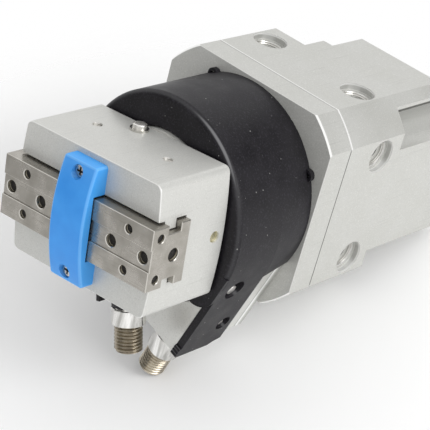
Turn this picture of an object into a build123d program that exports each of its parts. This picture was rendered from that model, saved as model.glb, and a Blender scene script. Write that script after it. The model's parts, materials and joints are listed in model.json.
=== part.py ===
from build123d import *
import math
import os

# Rotary gripper unit: a housing block with a turning output, a fixed drum for the wires with a tail for a
# plug connector, and a two jaw parallel gripper on the turning output.
# The unit's axis is Y. The gripper is at -Y, the rear face is at Y = 0, Z is up. Millimetres and degrees.

# Housing block and front plate
block_half = 31.0
block_corner_cut = 5.44
block_depth = 25.4
plate_depth = 9.3
flat_chamfer = 0.15
corner_chamfer = 0.45

# Body behind the block
body_length = 37.6
body_left_inset = 4.0
body_half_height = 17.25
deck_length = 24.0
deck_left = 7.4
deck_step_left = 10.9
deck_step_length = 9.2
deck_right_inset = 5.3
deck_edge = 1.25
groove_height = 1.0
groove_depth = 1.5
notch_wall_inset = 0.4
notch_cove_radius = 5.4
rear_cover_depth = 4.0

# Threaded mounting holes in the block's top and side faces
mount_hole_spacing = 34.0
mount_hole_from_back = 9.1
mount_recess_radius = 5.2
mount_recess_depth = 2.1
mount_step_radius = 4.25
mount_step_depth = 1.5
mount_core_radius = 2.5
mount_core_depth = 6.5

# Drum for the wires, with its tail
drum_depth = 31.1
drum_radius = 30.0
drum_wall = 2.5
drum_front_wall = 2.0
drum_edge_radius = 1.6
drum_opening_gap = 0.5
tail_angle = 17.63
tail_stand_out = 2.0
tail_wall = 2.2
tail_setback = 1.0
tail_depth = 17.7
tail_reach = 3.5
tail_corner_drop = 1.7
tail_corner_width = 3.0
swell_start_angle = 30.0
swell_end_along = 5.0
swell_rear_stand_out = 0.5
tail_hole_radii = (3.4, 2.5)
tail_hole_alongs = (6.5, 23.6)
tail_hole_depths = (6.7, 13.3)
ear_count = 4
ear_first_angle = 28.5
ear_centre_inset = 0.4
ear_radius = 1.8
ear_length = 1.6
m2_radius = 1.0
m2_head_radius = 1.9
m2_head_height = 2.0
m2_key_radius = 0.85
m2_tip_inset = 0.6
foot_start_along = 9.5
foot_middle_inset = 1.4
foot_middle_along = 12.6
foot_end_inset = 5.6
foot_end_along = 15.0
tail_rib_count = 3
tail_rib_radius = 0.7
tail_rib_spacing = 1.15

# Metal bracket inside the tail
bracket_gap = 0.1
bracket_drum_gap = 0.2
bracket_ear_gap = 0.3
bracket_width = 14.2
bracket_end_inset = 0.2
bracket_lip_height = 0.7
bracket_lip_width = 0.7
bracket_lip_start = 10.0
bracket_fixing_gap = 2.3
bracket_screw_angle = 35.2
bracket_dowel_angle = 47.6
bracket_dowel_radius = 1.0
bracket_dowel_grip = 5.0

# Round plug connectors
connector_collar_radius = 4.8
connector_thread_radius = 4.0
connector_thread_length = 8.0
connector_bore_radius = 3.3
connector_bore_depth = 9.0
connector_spigot_radius = 3.5
connector_spigot_length = 4.0
connector_insert_depth = 4.5
connector_rim_chamfer = 0.4
contact_count = 4
contact_radius = 0.4
contact_circle_radius = 1.8
contact_length = 3.5
tail_connector_inset = 5.1
tail_connector_setback = 5.2
tail_collar_length = 7.9
tail_thread_length = 7.3
wire_bore_radius = 3.0

# Gripper head
disc_gap = 0.9
head_angle = 6.73
head_depth = 26.7
head_height = 38.2
head_width = 52.2
head_corner_width = 49.4
head_corner_radius = 2.0
head_edge_radius = 0.4
channel_depth = 2.3
channel_half = 9.4
lip_depth = 4.25
lip_half = 6.8
slot_depth = 3.8
slot_half = 9.35
rack_room_depth = 3.95
rack_room_half_length = 20.8
rack_room_half = 9.2
head_hole_radius = 1.5
head_hole_depth = 4.0
head_hole_x = 13.2
head_hole_setback = 14.65
side_plug_radius = 1.7
side_plug_depth = 5.0
side_plug_inset = 0.6
side_plug_setback = 22.9
earth_screw_x = -5.1
earth_screw_setback = 22.6
earth_washer_radius = 2.7
earth_washer_thickness = 0.6
earth_head_radius = 1.95
earth_head_height = 1.3
earth_slot_width = 0.6
earth_slot_depth = 0.6
earth_screw_radius = 1.0
earth_screw_length = 4.0

# Jaws, with racks on their backs
jaw_outer = 27.8
jaw_inner = 5.8
jaw_stand_out = 3.75
jaw_half = 8.85
jaw_block_depth = 5.85
jaw_neck_half = 6.5
jaw_neck_depth = 4.65
jaw_flange_depth = 3.4
jaw_band_half = 3.0
jaw_band_depth = 0.4
jaw_edge_chamfer = 0.2
jaw_line_chamfer = 0.15
jaw_hole_chamfer = 0.2
jaw_pair_x = 19.1
jaw_pair_z = 5.85
jaw_pair_radius = 1.25
jaw_pair_depth = 5.0
jaw_row_x = (13.3, 24.8)
jaw_row_radius = 1.75
jaw_row_depth = 5.4
jaw_end_pair_setback = 3.25
jaw_end_pair_depth = 6.0
jaw_end_hole_setback = 8.9
jaw_end_hole_radius = 1.85
jaw_end_hole_depth = 6.0
gear_module = 0.8
gear_pressure_angle = 20.0
gear_backlash = 0.12
pinion_teeth = 12
pinion_addendum = 0.55
pinion_dedendum = 0.9
pinion_width = 3.2
pinion_setback = 0.35
pinion_shaft_radius = 2.0
pinion_shaft_grip = 3.5
rack_addendum = 0.5
rack_dedendum = 0.75
rack_slide_gap = 0.2
rack_room_gap = 0.3
rack_reach = 3.9
rack_end = 20.0

# Bridge over the jaws
bridge_half_width = 6.1
bridge_half_length = 17.4
bridge_rise = 6.85
bridge_end_rise = 4.05
bridge_jaw_gap = 0.3
bridge_foot_start = 9.35
bridge_edge_radius = 0.9
bridge_screw_z = 14.4
bridge_screw_recess_radius = 2.0
bridge_screw_recess_depth = 1.6
bridge_screw_head_radius = 1.9
bridge_screw_head_height = 1.3
bridge_screw_edge_radius = 0.25
bridge_screw_radius = 1.25
bridge_screw_length = 7.0
cross_recess_width = 0.6
cross_recess_length = 2.4
cross_recess_depth = 0.6

# Connector under the head, with its holder
head_connector_tilt = 10.2
head_connector_setback = 17.0
head_neck_radius = 4.7
head_neck_end = 28.7
head_collar_length = 5.4
holder_pad_depth = 2.4
holder_web_offset = 12.6
holder_web_thickness = 1.2
holder_web_end = 30.8
holder_web_back = 25.6

# Turning parts inside
disc_radius = 19.7
disc_thickness = 5.0
disc_screw_count = 4
disc_screw_angle = 45.0
disc_screw_circle_radius = 15.5
hub_screw_count = 4
hub_screw_circle_radius = 6.0
hub_screw_recess_depth = 3.2
gripper_drive_radius = 11.8
gripper_drive_depth = 10.2
gripper_drive_gap = 0.2
shaft_flange_radius = 12.5
shaft_radius = 9.95
journal_radius = 3.95
journal_length = 12.0
running_gap = 0.05
bearing_outer_radius = 16.0
bearing_inner_radius = 10.0
bearing_width = 7.0
bearing_from_seam = 0.3
rear_bearing_from_seam = 18.0
spacer_bore_radius = 13.0
seat_gap = 0.02
shaft_opening_radius = 13.0
drive_radius = 15.0
drive_wall = 2.0
drive_opening_radius = 6.0
cover_spigot_depth = 2.0

# Metric screws that hold the pieces together
m3_radius = 1.5
m3_head_radius = 2.75
m3_head_height = 3.0
m3_key_radius = 1.4
m4_radius = 2.0
m4_head_radius = 3.5
m4_head_height = 4.0
m4_key_radius = 1.7
key_depth = 1.3
screw_grip = 6.0
plate_screw_count = 4
plate_screw_angle = 45.0
plate_screw_gap = 0.8
plate_screw_grip = 9.0
cover_screw_inset = 3.8
head_room = 0.15

# Stations along the axis
rear_face = 0.0
cover_front = rear_face - rear_cover_depth
block_back = rear_face - body_length
block_front = block_back - block_depth
plate_front = block_front - plate_depth
drum_front = plate_front - drum_depth
head_back = drum_front - disc_gap
head_front = head_back - head_depth
disc_back = head_back + disc_thickness
slot_front = head_front + channel_depth + lip_depth
slot_back = slot_front + slot_depth
rack_room_back = slot_back + rack_room_depth
tail_front = drum_front + tail_setback
tail_back = tail_front + tail_depth
bracket_front = tail_front + bracket_gap

# Derived sizes
block_corner_radius = block_half * math.sqrt(2) - block_corner_cut
block_flat = math.sqrt(block_corner_radius**2 - block_half**2)
body_left = block_half - body_left_inset
deck_right = block_half - deck_right_inset
pitch_radius = gear_module * pinion_teeth / 2
tooth_pitch = math.pi * gear_module
tail_wall_out = drum_radius + tail_stand_out
tail_inside = tail_wall_out - tail_wall
tail_length = drum_radius + tail_reach
bracket_out = tail_inside - bracket_gap
bracket_inner = bracket_out - bracket_width
bracket_length = tail_length - bracket_end_inset
bracket_fixing_radius = drum_radius + bracket_fixing_gap
plate_screw_circle_radius = drum_radius - drum_wall - m4_head_radius - plate_screw_gap
ear_centre_radius = drum_radius - ear_centre_inset
tail_connector_out = bracket_out - tail_connector_inset
drum_opening_radius = disc_radius + drum_opening_gap
tail_connector_y = tail_front + tail_connector_setback
head_connector_y = head_front + head_connector_setback
mount_y = block_back - mount_hole_from_back


def turned(angle):
    """Direction across the axis, turned from +X towards +Z."""
    return Vector(math.cos(math.radians(angle)), 0, math.sin(math.radians(angle)))


head_x = turned(head_angle)
head_z = turned(head_angle + 90)
tail_out = turned(-tail_angle)
tail_down = turned(-tail_angle - 90)
head_connector_down = turned(head_angle + head_connector_tilt - 90)
head_connector_across = turned(head_angle + head_connector_tilt)
forward = Vector(0, -1, 0)


def across(y, centre=Vector(0, 0, 0)):
    """Plane across the axis seen from the front, with local x along +X and local y along +Z."""
    return Plane(origin=centre + Vector(0, y, 0), x_dir=(1, 0, 0), z_dir=forward)


def across_back(y, centre=Vector(0, 0, 0)):
    """The same plane seen from the rear, for screws whose heads face the rear."""
    return Plane(origin=centre + Vector(0, y, 0), x_dir=(-1, 0, 0), z_dir=-forward)


def head_across(y, x=0.0, z=0.0):
    """Plane across the axis that is turned with the head."""
    return Plane(origin=head_x * x + head_z * z + Vector(0, y, 0), x_dir=head_x, z_dir=forward)


def head_side(x):
    """Plane across the head's width, with local x along +Y and local y up the head."""
    return Plane(origin=head_x * x, x_dir=(0, 1, 0), z_dir=head_x)


def tail_across(along, out=0.0, y=0.0):
    """Plane across the tail's length that faces down the tail, with local x along +Y."""
    origin = tail_down * along + tail_out * out + Vector(0, y, 0)
    return Plane(origin=origin, x_dir=(0, 1, 0), z_dir=tail_down)


def tail_side(out):
    """Plane in the tail's flat wall, with local x along +Y and local y up the tail."""
    return Plane(origin=tail_out * out, x_dir=(0, 1, 0), z_dir=tail_out)


def tail_point(out, along):
    """Point in the plane across the axis, given out from the axis and along the tail."""
    point = tail_out * out + tail_down * along
    return (point.X, point.Z)


def polar_point(radius, angle):
    """Point in the plane across the axis at a radius and an angle from +X towards +Z."""
    return (radius * math.cos(math.radians(angle)), radius * math.sin(math.radians(angle)))


def ring(count, first_angle, radius):
    """Centres spread evenly on a circle about the axis."""
    return [turned(first_angle + index * 360 / count) * radius for index in range(count)]


def seats(facing, y, centres):
    """One plane at each centre, all at the same place along the axis."""
    return [facing(y, centre) for centre in centres]


def cap_screws(planes, radius, grip, head_radius, head_height, key_radius):
    """Cap screws with a hexagon recess. Each plane lies under a head and faces outwards."""
    with BuildPart() as screws:
        with BuildSketch(*planes):
            Circle(head_radius)
        extrude(amount=head_height)
        with BuildSketch(*planes):
            Circle(radius)
        extrude(amount=-grip)
        with BuildSketch(*[plane.offset(head_height) for plane in planes]):
            RegularPolygon(key_radius, 6)
        extrude(amount=-head_height / 2, mode=Mode.SUBTRACT)
    return screws.part


def save(part, name):
    """Label a finished piece and write it."""
    part.label = name
    export_step(part, f"parts/{name}.step")


os.makedirs("parts", exist_ok=True)


# Housing: block, body and deck machined from one piece, bored for the shaft, bearings and drive
deck_corner_z = math.sqrt(block_corner_radius**2 - deck_right**2)
groove_top = deck_corner_z - deck_edge
groove_bottom = groove_top - groove_height
notch_wall_x = deck_right - notch_wall_inset
notch_wall_foot = (notch_wall_x, body_half_height + notch_cove_radius)
notch_floor_start = (notch_wall_x + notch_cove_radius, body_half_height)
body_middle = (block_half - body_left) / 2
bearing_bore_back = block_front + rear_bearing_from_seam
drive_front = bearing_bore_back + drive_wall
mount_offsets = (-mount_hole_spacing / 2, mount_hole_spacing / 2)
top_mounts = [Plane((offset, mount_y, block_half), z_dir=(0, 0, 1)) for offset in mount_offsets]
side_mounts = [Plane((block_half, mount_y, offset), z_dir=(1, 0, 0)) for offset in mount_offsets]
plate_screw_centres = ring(plate_screw_count, plate_screw_angle, plate_screw_circle_radius)
cover_screw_centres = [
    Vector(x, 0, z)
    for x in (cover_screw_inset - body_left, block_half - cover_screw_inset)
    for z in (cover_screw_inset - body_half_height, body_half_height - cover_screw_inset)
]

with BuildPart() as rear_housing:
    with BuildSketch(across(block_front)):
        Rectangle(2 * block_half, 2 * block_half)
        Circle(block_corner_radius, mode=Mode.INTERSECT)
    extrude(amount=-block_depth)
    front_edges = rear_housing.edges().group_by(Axis.Y)[0]
    chamfer(front_edges.filter_by(GeomType.CIRCLE), corner_chamfer)
    front_edges = rear_housing.edges().group_by(Axis.Y)[0]
    chamfer(front_edges.filter_by(GeomType.LINE), flat_chamfer)
    with BuildSketch(across(block_back)):
        with Locations((body_middle, 0)):
            Rectangle(block_half + body_left, 2 * body_half_height)
    extrude(amount=block_back - cover_front)
    with BuildSketch(across(block_back)):
        with BuildLine():
            Polyline(notch_floor_start, (notch_floor_start[0], 0), (-deck_left, 0), (-deck_left, block_half))
            Line((-deck_left, block_half), (block_flat, block_half))
            RadiusArc((block_flat, block_half), (deck_right, deck_corner_z), block_corner_radius)
            Polyline(
                (deck_right, deck_corner_z),
                (deck_right, groove_top),
                (deck_right - groove_depth, groove_top),
                (deck_right - groove_depth, groove_bottom),
                (notch_wall_x, groove_bottom),
                notch_wall_foot,
            )
            RadiusArc(notch_wall_foot, notch_floor_start, -notch_cove_radius)
        make_face()
    extrude(amount=-deck_length)
    with BuildSketch(across(block_back)):
        with Locations((-deck_step_left, 0)):
            Rectangle(deck_step_left, block_half, align=Align.MIN)
    extrude(amount=-deck_step_length)
    with Locations(*top_mounts, *side_mounts):
        Hole(mount_recess_radius, mount_recess_depth)
        Hole(mount_step_radius, mount_recess_depth + mount_step_depth)
        Hole(mount_core_radius, mount_recess_depth + mount_step_depth + mount_core_depth)
    with BuildSketch(across(block_front)):
        Circle(bearing_outer_radius + seat_gap)
    extrude(amount=-rear_bearing_from_seam, mode=Mode.SUBTRACT)
    with BuildSketch(across(drive_front)):
        Circle(drive_radius + seat_gap)
    extrude(amount=drive_front - cover_front, mode=Mode.SUBTRACT)
    with BuildSketch(across(bearing_bore_back)):
        Circle(drive_opening_radius)
    extrude(amount=-drive_wall, mode=Mode.SUBTRACT)
    with Locations(*seats(across, block_front, plate_screw_centres)):
        Hole(m4_radius, plate_screw_grip)
    with Locations(*seats(across_back, cover_front, cover_screw_centres)):
        Hole(m3_radius, screw_grip)
save(rear_housing.part, "rear_housing")

# Cover over the drive at the rear, with countersunk screws
with BuildPart() as rear_cover:
    with BuildSketch(across(rear_face)):
        with Locations((body_middle, 0)):
            Rectangle(block_half + body_left, 2 * body_half_height)
    extrude(amount=rear_cover_depth)
    with BuildSketch(across(cover_front)):
        Circle(drive_radius)
    extrude(amount=cover_spigot_depth)
    with Locations(*seats(across_back, rear_face, cover_screw_centres)):
        CounterSinkHole(m3_radius + seat_gap, m3_head_radius, rear_cover_depth + cover_spigot_depth, 90)
save(rear_cover.part, "rear_cover")

with BuildPart() as rear_cover_screws:
    for centre in cover_screw_centres:
        with BuildSketch(across(rear_face - seat_gap, centre)):
            Circle(m3_head_radius - 2 * seat_gap)
        extrude(amount=m3_head_radius - m3_radius, taper=45)
    with BuildSketch(*seats(across, rear_face - seat_gap, cover_screw_centres)):
        Circle(m3_radius)
    extrude(amount=rear_cover_depth + screw_grip - head_room)
    with BuildSketch(*seats(across_back, rear_face - seat_gap, cover_screw_centres)):
        RegularPolygon(m3_key_radius, 6)
    extrude(amount=-key_depth, mode=Mode.SUBTRACT)
save(rear_cover_screws.part, "rear_cover_screws")

# Front plate: carries the front bearing, the drum and the tail bracket
bracket_screw_centre = turned(-tail_angle - bracket_screw_angle) * bracket_fixing_radius
bracket_dowel_centre = turned(-tail_angle - bracket_dowel_angle) * bracket_fixing_radius
ear_centres = ring(ear_count, ear_first_angle, ear_centre_radius)

with BuildPart() as front_plate:
    with BuildSketch(across(plate_front)):
        Rectangle(2 * block_half, 2 * block_half)
        Circle(block_corner_radius, mode=Mode.INTERSECT)
    extrude(amount=-plate_depth)
    front_edges = front_plate.edges().group_by(Axis.Y)[0]
    chamfer(front_edges.filter_by(GeomType.CIRCLE), corner_chamfer)
    front_edges = front_plate.edges().group_by(Axis.Y)[0]
    chamfer(front_edges.filter_by(GeomType.LINE), flat_chamfer)
    with BuildSketch(across(plate_front)):
        Circle(shaft_opening_radius)
    extrude(amount=-plate_depth, mode=Mode.SUBTRACT)
    with BuildSketch(across(block_front)):
        Circle(bearing_outer_radius + seat_gap)
    extrude(amount=bearing_from_seam + bearing_width, mode=Mode.SUBTRACT)
    with Locations(*seats(across, plate_front, plate_screw_centres)):
        Hole(m4_radius + seat_gap)
    with Locations(*seats(across_back, block_front, ear_centres)):
        Hole(m2_head_radius + seat_gap, m2_head_height + head_room)
        Hole(m2_radius + seat_gap)
    with Locations(across_back(block_front, bracket_screw_centre)):
        Hole(m3_head_radius + seat_gap, m3_head_height + head_room)
        Hole(m3_radius + seat_gap)
    with Locations(across(plate_front, bracket_dowel_centre)):
        Hole(bracket_dowel_radius, bracket_dowel_grip)
save(front_plate.part, "front_plate")

front_plate_screws = cap_screws(
    seats(across, plate_front, plate_screw_centres),
    m4_radius,
    plate_depth + plate_screw_grip - head_room,
    m4_head_radius,
    m4_head_height,
    m4_key_radius,
)
save(front_plate_screws, "front_plate_screws")

# Drum: a thin wall with a round front opening, swelling into the tail on one side
swell_turn = math.radians(swell_start_angle + tail_angle)


def swelled_section(y, swell_out):
    """Outline of the drum at a station: a circle that swells out to the tail and steps back at its foot."""
    swell_radius = (swell_out - drum_radius * math.cos(swell_turn)) / (1 - math.cos(swell_turn))
    swell_centre = turned(swell_start_angle) * (drum_radius - swell_radius)
    end_rise = swell_end_along - swell_centre.dot(tail_down)
    end_out = swell_centre.dot(tail_out) + math.sqrt(swell_radius**2 - end_rise**2)
    swell_start = polar_point(drum_radius, swell_start_angle)
    swell_end = tail_point(end_out, swell_end_along)
    swell_foot = tail_point(math.sqrt(drum_radius**2 - swell_end_along**2), swell_end_along)
    with BuildSketch(across(y)) as section:
        with BuildLine():
            ThreePointArc(swell_start, (-drum_radius, 0), swell_foot)
            Line(swell_foot, swell_end)
            RadiusArc(swell_end, swell_start, -swell_radius)
        make_face()
    return section.sketch


tail_swell = swelled_section(tail_back, tail_wall_out)
rear_swell = swelled_section(plate_front, drum_radius + swell_rear_stand_out)
tail_top_along = tail_stand_out * math.sin(swell_turn) / (1 - math.cos(swell_turn))
foot_start = tail_point(tail_wall_out, foot_start_along)
foot_middle = tail_point(tail_wall_out - foot_middle_inset, foot_middle_along)
foot_end = tail_point(tail_wall_out - foot_end_inset, foot_end_along)
tail_rib_end = tail_length - tail_rib_radius
tail_rib_alongs = [tail_rib_end - index * tail_rib_spacing for index in range(tail_rib_count)]

with BuildPart() as cable_drum:
    extrude(tail_swell, amount=tail_back - drum_front)
    fillet(cable_drum.edges().group_by(Axis.Y)[0], drum_edge_radius)
    loft([*tail_swell.faces(), *rear_swell.faces()])
    with BuildSketch(across(plate_front)):
        Circle(drum_radius - drum_wall)
    extrude(amount=drum_depth - drum_front_wall, mode=Mode.SUBTRACT)
    with BuildSketch(across(drum_front)):
        Circle(drum_opening_radius)
    extrude(amount=-drum_front_wall, mode=Mode.SUBTRACT)
    with BuildSketch(tail_side(tail_inside)):
        with BuildLine():
            Polyline(
                (tail_front, -tail_top_along),
                (tail_back, -tail_top_along),
                (tail_back, tail_corner_drop - tail_length),
                (tail_back - tail_corner_width, tail_corner_drop / 2 - tail_length),
                (tail_back - tail_corner_width - tail_corner_drop, -tail_length),
                (tail_front, -tail_length),
                close=True,
            )
        make_face()
        with Locations(*[(tail_front, -along) for along in tail_rib_alongs]):
            Circle(tail_rib_radius)
    extrude(amount=tail_wall)
    with BuildSketch(across(drum_front)):
        with BuildLine():
            ThreePointArc(foot_start, foot_middle, foot_end)
            Polyline(foot_end, tail_point(0, 0), tail_point(tail_wall_out, 0), foot_start)
        make_face()
        Circle(drum_radius - drum_edge_radius, mode=Mode.SUBTRACT)
    extrude(amount=-tail_setback)
    for radius, along, depth in zip(tail_hole_radii, tail_hole_alongs, tail_hole_depths):
        with BuildSketch(tail_side(tail_wall_out)):
            with Locations((tail_front + depth, -along)):
                Circle(radius)
        extrude(amount=-2 * tail_wall, mode=Mode.SUBTRACT)
    with BuildSketch(*seats(across, plate_front, ear_centres)):
        Circle(ear_radius)
    extrude(amount=ear_length)
    with Locations(*seats(across_back, plate_front, ear_centres)):
        Hole(m2_radius, ear_length)
save(cable_drum.part, "cable_drum")

drum_screws = cap_screws(
    seats(across_back, block_front - m2_head_height - head_room / 2, ear_centres),
    m2_radius,
    plate_depth - m2_head_height - head_room / 2 + ear_length - m2_tip_inset,
    m2_head_radius,
    m2_head_height,
    m2_key_radius,
)
save(drum_screws, "drum_screws")

# Bracket: light metal arm that fills the tail, hollowed round the drum and bored for the wires
bracket_end = tail_out * tail_connector_out + tail_down * bracket_length
tail_connector_centre = bracket_end + Vector(0, tail_connector_y, 0)

with BuildPart() as tail_bracket:
    with BuildSketch(across(bracket_front)):
        with BuildLine():
            Polyline(
                tail_point(bracket_out, 0),
                tail_point(bracket_out, bracket_length),
                tail_point(bracket_inner, bracket_length),
                tail_point(bracket_inner, 0),
                close=True,
            )
        make_face()
        Circle(drum_radius + bracket_drum_gap, mode=Mode.SUBTRACT)
    extrude(amount=bracket_front - plate_front)
    with BuildSketch(across(tail_back + bracket_gap)):
        with BuildLine():
            Polyline(
                tail_point(bracket_out - bracket_lip_height, bracket_lip_start),
                tail_point(bracket_out - bracket_lip_height, bracket_length),
                tail_point(bracket_out + bracket_lip_height, bracket_length),
                tail_point(bracket_out + bracket_lip_height, bracket_lip_start),
                close=True,
            )
        make_face()
    extrude(amount=-bracket_lip_width)
    with Locations(*seats(across_back, plate_front, ear_centres)):
        Hole(ear_radius + bracket_ear_gap, ear_length + bracket_ear_gap)
    with BuildSketch(tail_across(bracket_length, tail_connector_out, tail_connector_y)):
        Circle(wire_bore_radius)
    extrude(amount=-bracket_length, mode=Mode.SUBTRACT)
    with Locations(tail_across(bracket_length, tail_connector_out, tail_connector_y)):
        Hole(connector_spigot_radius, connector_spigot_length)
    with Locations(across_back(plate_front, bracket_screw_centre)):
        Hole(m3_radius, screw_grip)
    with Locations(across_back(plate_front, bracket_dowel_centre)):
        Hole(bracket_dowel_radius, bracket_dowel_grip)
save(tail_bracket.part, "tail_bracket")

tail_bracket_screw = cap_screws(
    [across_back(block_front - m3_head_height - head_room / 2, bracket_screw_centre)],
    m3_radius,
    plate_depth - m3_head_height - head_room / 2 + screw_grip - head_room,
    m3_head_radius,
    m3_head_height,
    m3_key_radius,
)
save(tail_bracket_screw, "tail_bracket_screw")

with BuildPart() as tail_bracket_dowel:
    with BuildSketch(across(plate_front + bracket_dowel_grip - head_room, bracket_dowel_centre)):
        Circle(bracket_dowel_radius)
    extrude(amount=2 * (bracket_dowel_grip - head_room))
save(tail_bracket_dowel.part, "tail_bracket_dowel")


def connector(name, seat, collar_length, thread_length):
    """Round plug connector with a screw collar, in three pieces. The seat faces out of the connector."""
    thread_end = seat.offset(collar_length + thread_length)
    insert_end = thread_end.offset(-connector_insert_depth)
    with BuildPart() as shell:
        with BuildSketch(seat):
            Circle(connector_collar_radius)
        extrude(amount=collar_length)
        with BuildSketch(seat.offset(-connector_spigot_length)):
            Circle(connector_spigot_radius)
        extrude(amount=connector_spigot_length)
        with BuildSketch(seat.offset(collar_length)):
            Circle(connector_thread_radius)
        extrude(amount=thread_length)
        rim = shell.edges().filter_by(GeomType.CIRCLE).sort_by(Axis(thread_end.origin, thread_end.z_dir))[-1]
        chamfer(rim, connector_rim_chamfer)
        with Locations(thread_end):
            Hole(connector_bore_radius, connector_bore_depth)
    with BuildPart() as insert:
        with BuildSketch(insert_end):
            Circle(connector_bore_radius)
        extrude(amount=connector_insert_depth - connector_bore_depth)
        with Locations(insert_end):
            with PolarLocations(contact_circle_radius, contact_count):
                Hole(contact_radius, contact_length / 2)
    with BuildPart() as contacts:
        with BuildSketch(insert_end.offset(-contact_length / 2)):
            with PolarLocations(contact_circle_radius, contact_count):
                Circle(contact_radius)
        extrude(amount=3 * contact_length / 2)
    save(shell.part, f"{name}_shell")
    save(insert.part, f"{name}_insert")
    save(contacts.part, f"{name}_pins")


connector(
    "tail_connector",
    Plane(origin=tail_connector_centre, x_dir=(0, 1, 0), z_dir=tail_down),
    tail_collar_length,
    tail_thread_length,
)

# Shaft, its two bearings with the distance ring between them, and the drive that turns it
journal_front = bearing_bore_back

with BuildPart() as output_shaft:
    with BuildSketch(across(disc_back)):
        Circle(shaft_flange_radius)
    extrude(amount=disc_back - (block_front - bearing_from_seam - bearing_width))
    with BuildSketch(across(disc_back)):
        Circle(shaft_radius)
    extrude(amount=disc_back - journal_front + running_gap)
    with BuildSketch(across(journal_front - running_gap)):
        Circle(journal_radius)
    extrude(amount=-running_gap - drive_wall - journal_length)
    with Locations(*seats(across, disc_back, ring(hub_screw_count, 0, hub_screw_circle_radius))):
        Hole(m3_radius, screw_grip)
save(output_shaft.part, "output_shaft")


def bearing_ring(name, front, width, bore_radius):
    """Ring that fits the bore of the housing."""
    with BuildPart() as ring_part:
        with BuildSketch(across(front)):
            Circle(bearing_outer_radius)
            Circle(bore_radius, mode=Mode.SUBTRACT)
        extrude(amount=-width)
    save(ring_part.part, name)


front_bearing_front = block_front - bearing_from_seam - bearing_width
rear_bearing_front = bearing_bore_back - bearing_width
bearing_ring("front_bearing", front_bearing_front, bearing_width, bearing_inner_radius)
bearing_ring("rear_bearing", rear_bearing_front, bearing_width, bearing_inner_radius)
bearing_ring(
    "bearing_spacer",
    front_bearing_front + bearing_width,
    rear_bearing_front - front_bearing_front - bearing_width,
    spacer_bore_radius,
)

with BuildPart() as rotary_drive:
    with BuildSketch(across(drive_front)):
        Circle(drive_radius)
    extrude(amount=drive_front - cover_front + cover_spigot_depth)
    with Locations(across(drive_front)):
        Hole(journal_radius + running_gap, journal_length + running_gap)
save(rotary_drive.part, "rotary_drive")

# Output disc between shaft and head
disc_screw_centres = ring(disc_screw_count, disc_screw_angle + head_angle, disc_screw_circle_radius)
hub_screw_centres = ring(hub_screw_count, 0, hub_screw_circle_radius)

with BuildPart() as output_disc:
    with BuildSketch(across(head_back)):
        Circle(disc_radius)
    extrude(amount=-disc_thickness)
    with Locations(*seats(across, head_back, disc_screw_centres)):
        Hole(m3_radius + seat_gap)
    with Locations(*seats(across, head_back, hub_screw_centres)):
        Hole(m3_head_radius + seat_gap, hub_screw_recess_depth)
        Hole(m3_radius + seat_gap)
save(output_disc.part, "output_disc")

disc_screws = cap_screws(
    seats(across_back, disc_back, disc_screw_centres),
    m3_radius,
    disc_thickness + screw_grip - head_room,
    m3_head_radius,
    m3_head_height,
    m3_key_radius,
)
save(disc_screws, "disc_screws")

hub_screws = cap_screws(
    seats(across, head_back + hub_screw_recess_depth, hub_screw_centres),
    m3_radius,
    disc_thickness - hub_screw_recess_depth + screw_grip - head_room,
    m3_head_radius,
    m3_head_height,
    m3_key_radius,
)
save(hub_screws, "hub_screws")

# Gripper head: a block with slightly bowed sides and a T slot across its front
head_half = head_width / 2
head_corner_half = head_corner_width / 2
head_top = head_height / 2
gripper_drive_front = head_back - gripper_drive_gap - gripper_drive_depth
gripper_pocket_front = gripper_drive_front - running_gap
head_hole_seats = [
    Plane(head_x * x + head_z * head_top + Vector(0, head_front + head_hole_setback, 0), z_dir=head_z)
    for x in (-head_hole_x, head_hole_x)
]
earth_seat = Plane(
    head_x * earth_screw_x + head_z * head_top + Vector(0, head_front + earth_screw_setback, 0),
    x_dir=turned(head_angle) + Vector(0, 1, 0),
    z_dir=head_z,
)
side_plug_seats = [
    Plane(head_x * side * head_half + Vector(0, head_front + side_plug_setback, 0), z_dir=head_x * side)
    for side in (-1, 1)
]
bridge_screw_seats = [head_across(head_front, 0, side * bridge_screw_z) for side in (-1, 1)]

with BuildPart() as head_body:
    with BuildSketch(head_across(head_front)) as head_outline:
        with BuildLine():
            Line((-head_corner_half, head_top), (head_corner_half, head_top))
            ThreePointArc((head_corner_half, head_top), (head_half, 0), (head_corner_half, -head_top))
            Line((head_corner_half, -head_top), (-head_corner_half, -head_top))
            ThreePointArc((-head_corner_half, -head_top), (-head_half, 0), (-head_corner_half, head_top))
        make_face()
        fillet(head_outline.vertices(), head_corner_radius)
    extrude(amount=-head_depth)
    fillet(head_body.edges().group_by(Axis.Y)[0], head_edge_radius)
    fillet(head_body.edges().group_by(Axis.Y)[-1], head_edge_radius)
    with BuildSketch(head_across(head_front)):
        Rectangle(2 * head_width, 2 * channel_half)
    extrude(amount=-channel_depth, mode=Mode.SUBTRACT)
    with BuildSketch(head_across(head_front)):
        Rectangle(2 * head_width, 2 * lip_half)
    extrude(amount=-channel_depth - lip_depth, mode=Mode.SUBTRACT)
    with BuildSketch(head_across(slot_front)):
        Rectangle(2 * head_width, 2 * slot_half)
    extrude(amount=-slot_depth, mode=Mode.SUBTRACT)
    with BuildSketch(head_across(slot_back)):
        Rectangle(2 * rack_room_half_length, 2 * rack_room_half)
    extrude(amount=-rack_room_depth, mode=Mode.SUBTRACT)
    with Locations(across_back(head_back)):
        Hole(gripper_drive_radius + running_gap, head_back - gripper_pocket_front)
        Hole(pinion_shaft_radius + running_gap)
    with Locations(*seats(across_back, head_back, disc_screw_centres)):
        Hole(m3_radius, screw_grip)
    with Locations(*head_hole_seats):
        Hole(head_hole_radius, head_hole_depth)
    with Locations(earth_seat):
        Hole(earth_screw_radius, earth_screw_length)
    with Locations(*side_plug_seats):
        Hole(side_plug_radius, side_plug_depth)
    with Locations(*bridge_screw_seats):
        Hole(bridge_screw_radius, bridge_screw_length)
save(head_body.part, "head_body")

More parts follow.
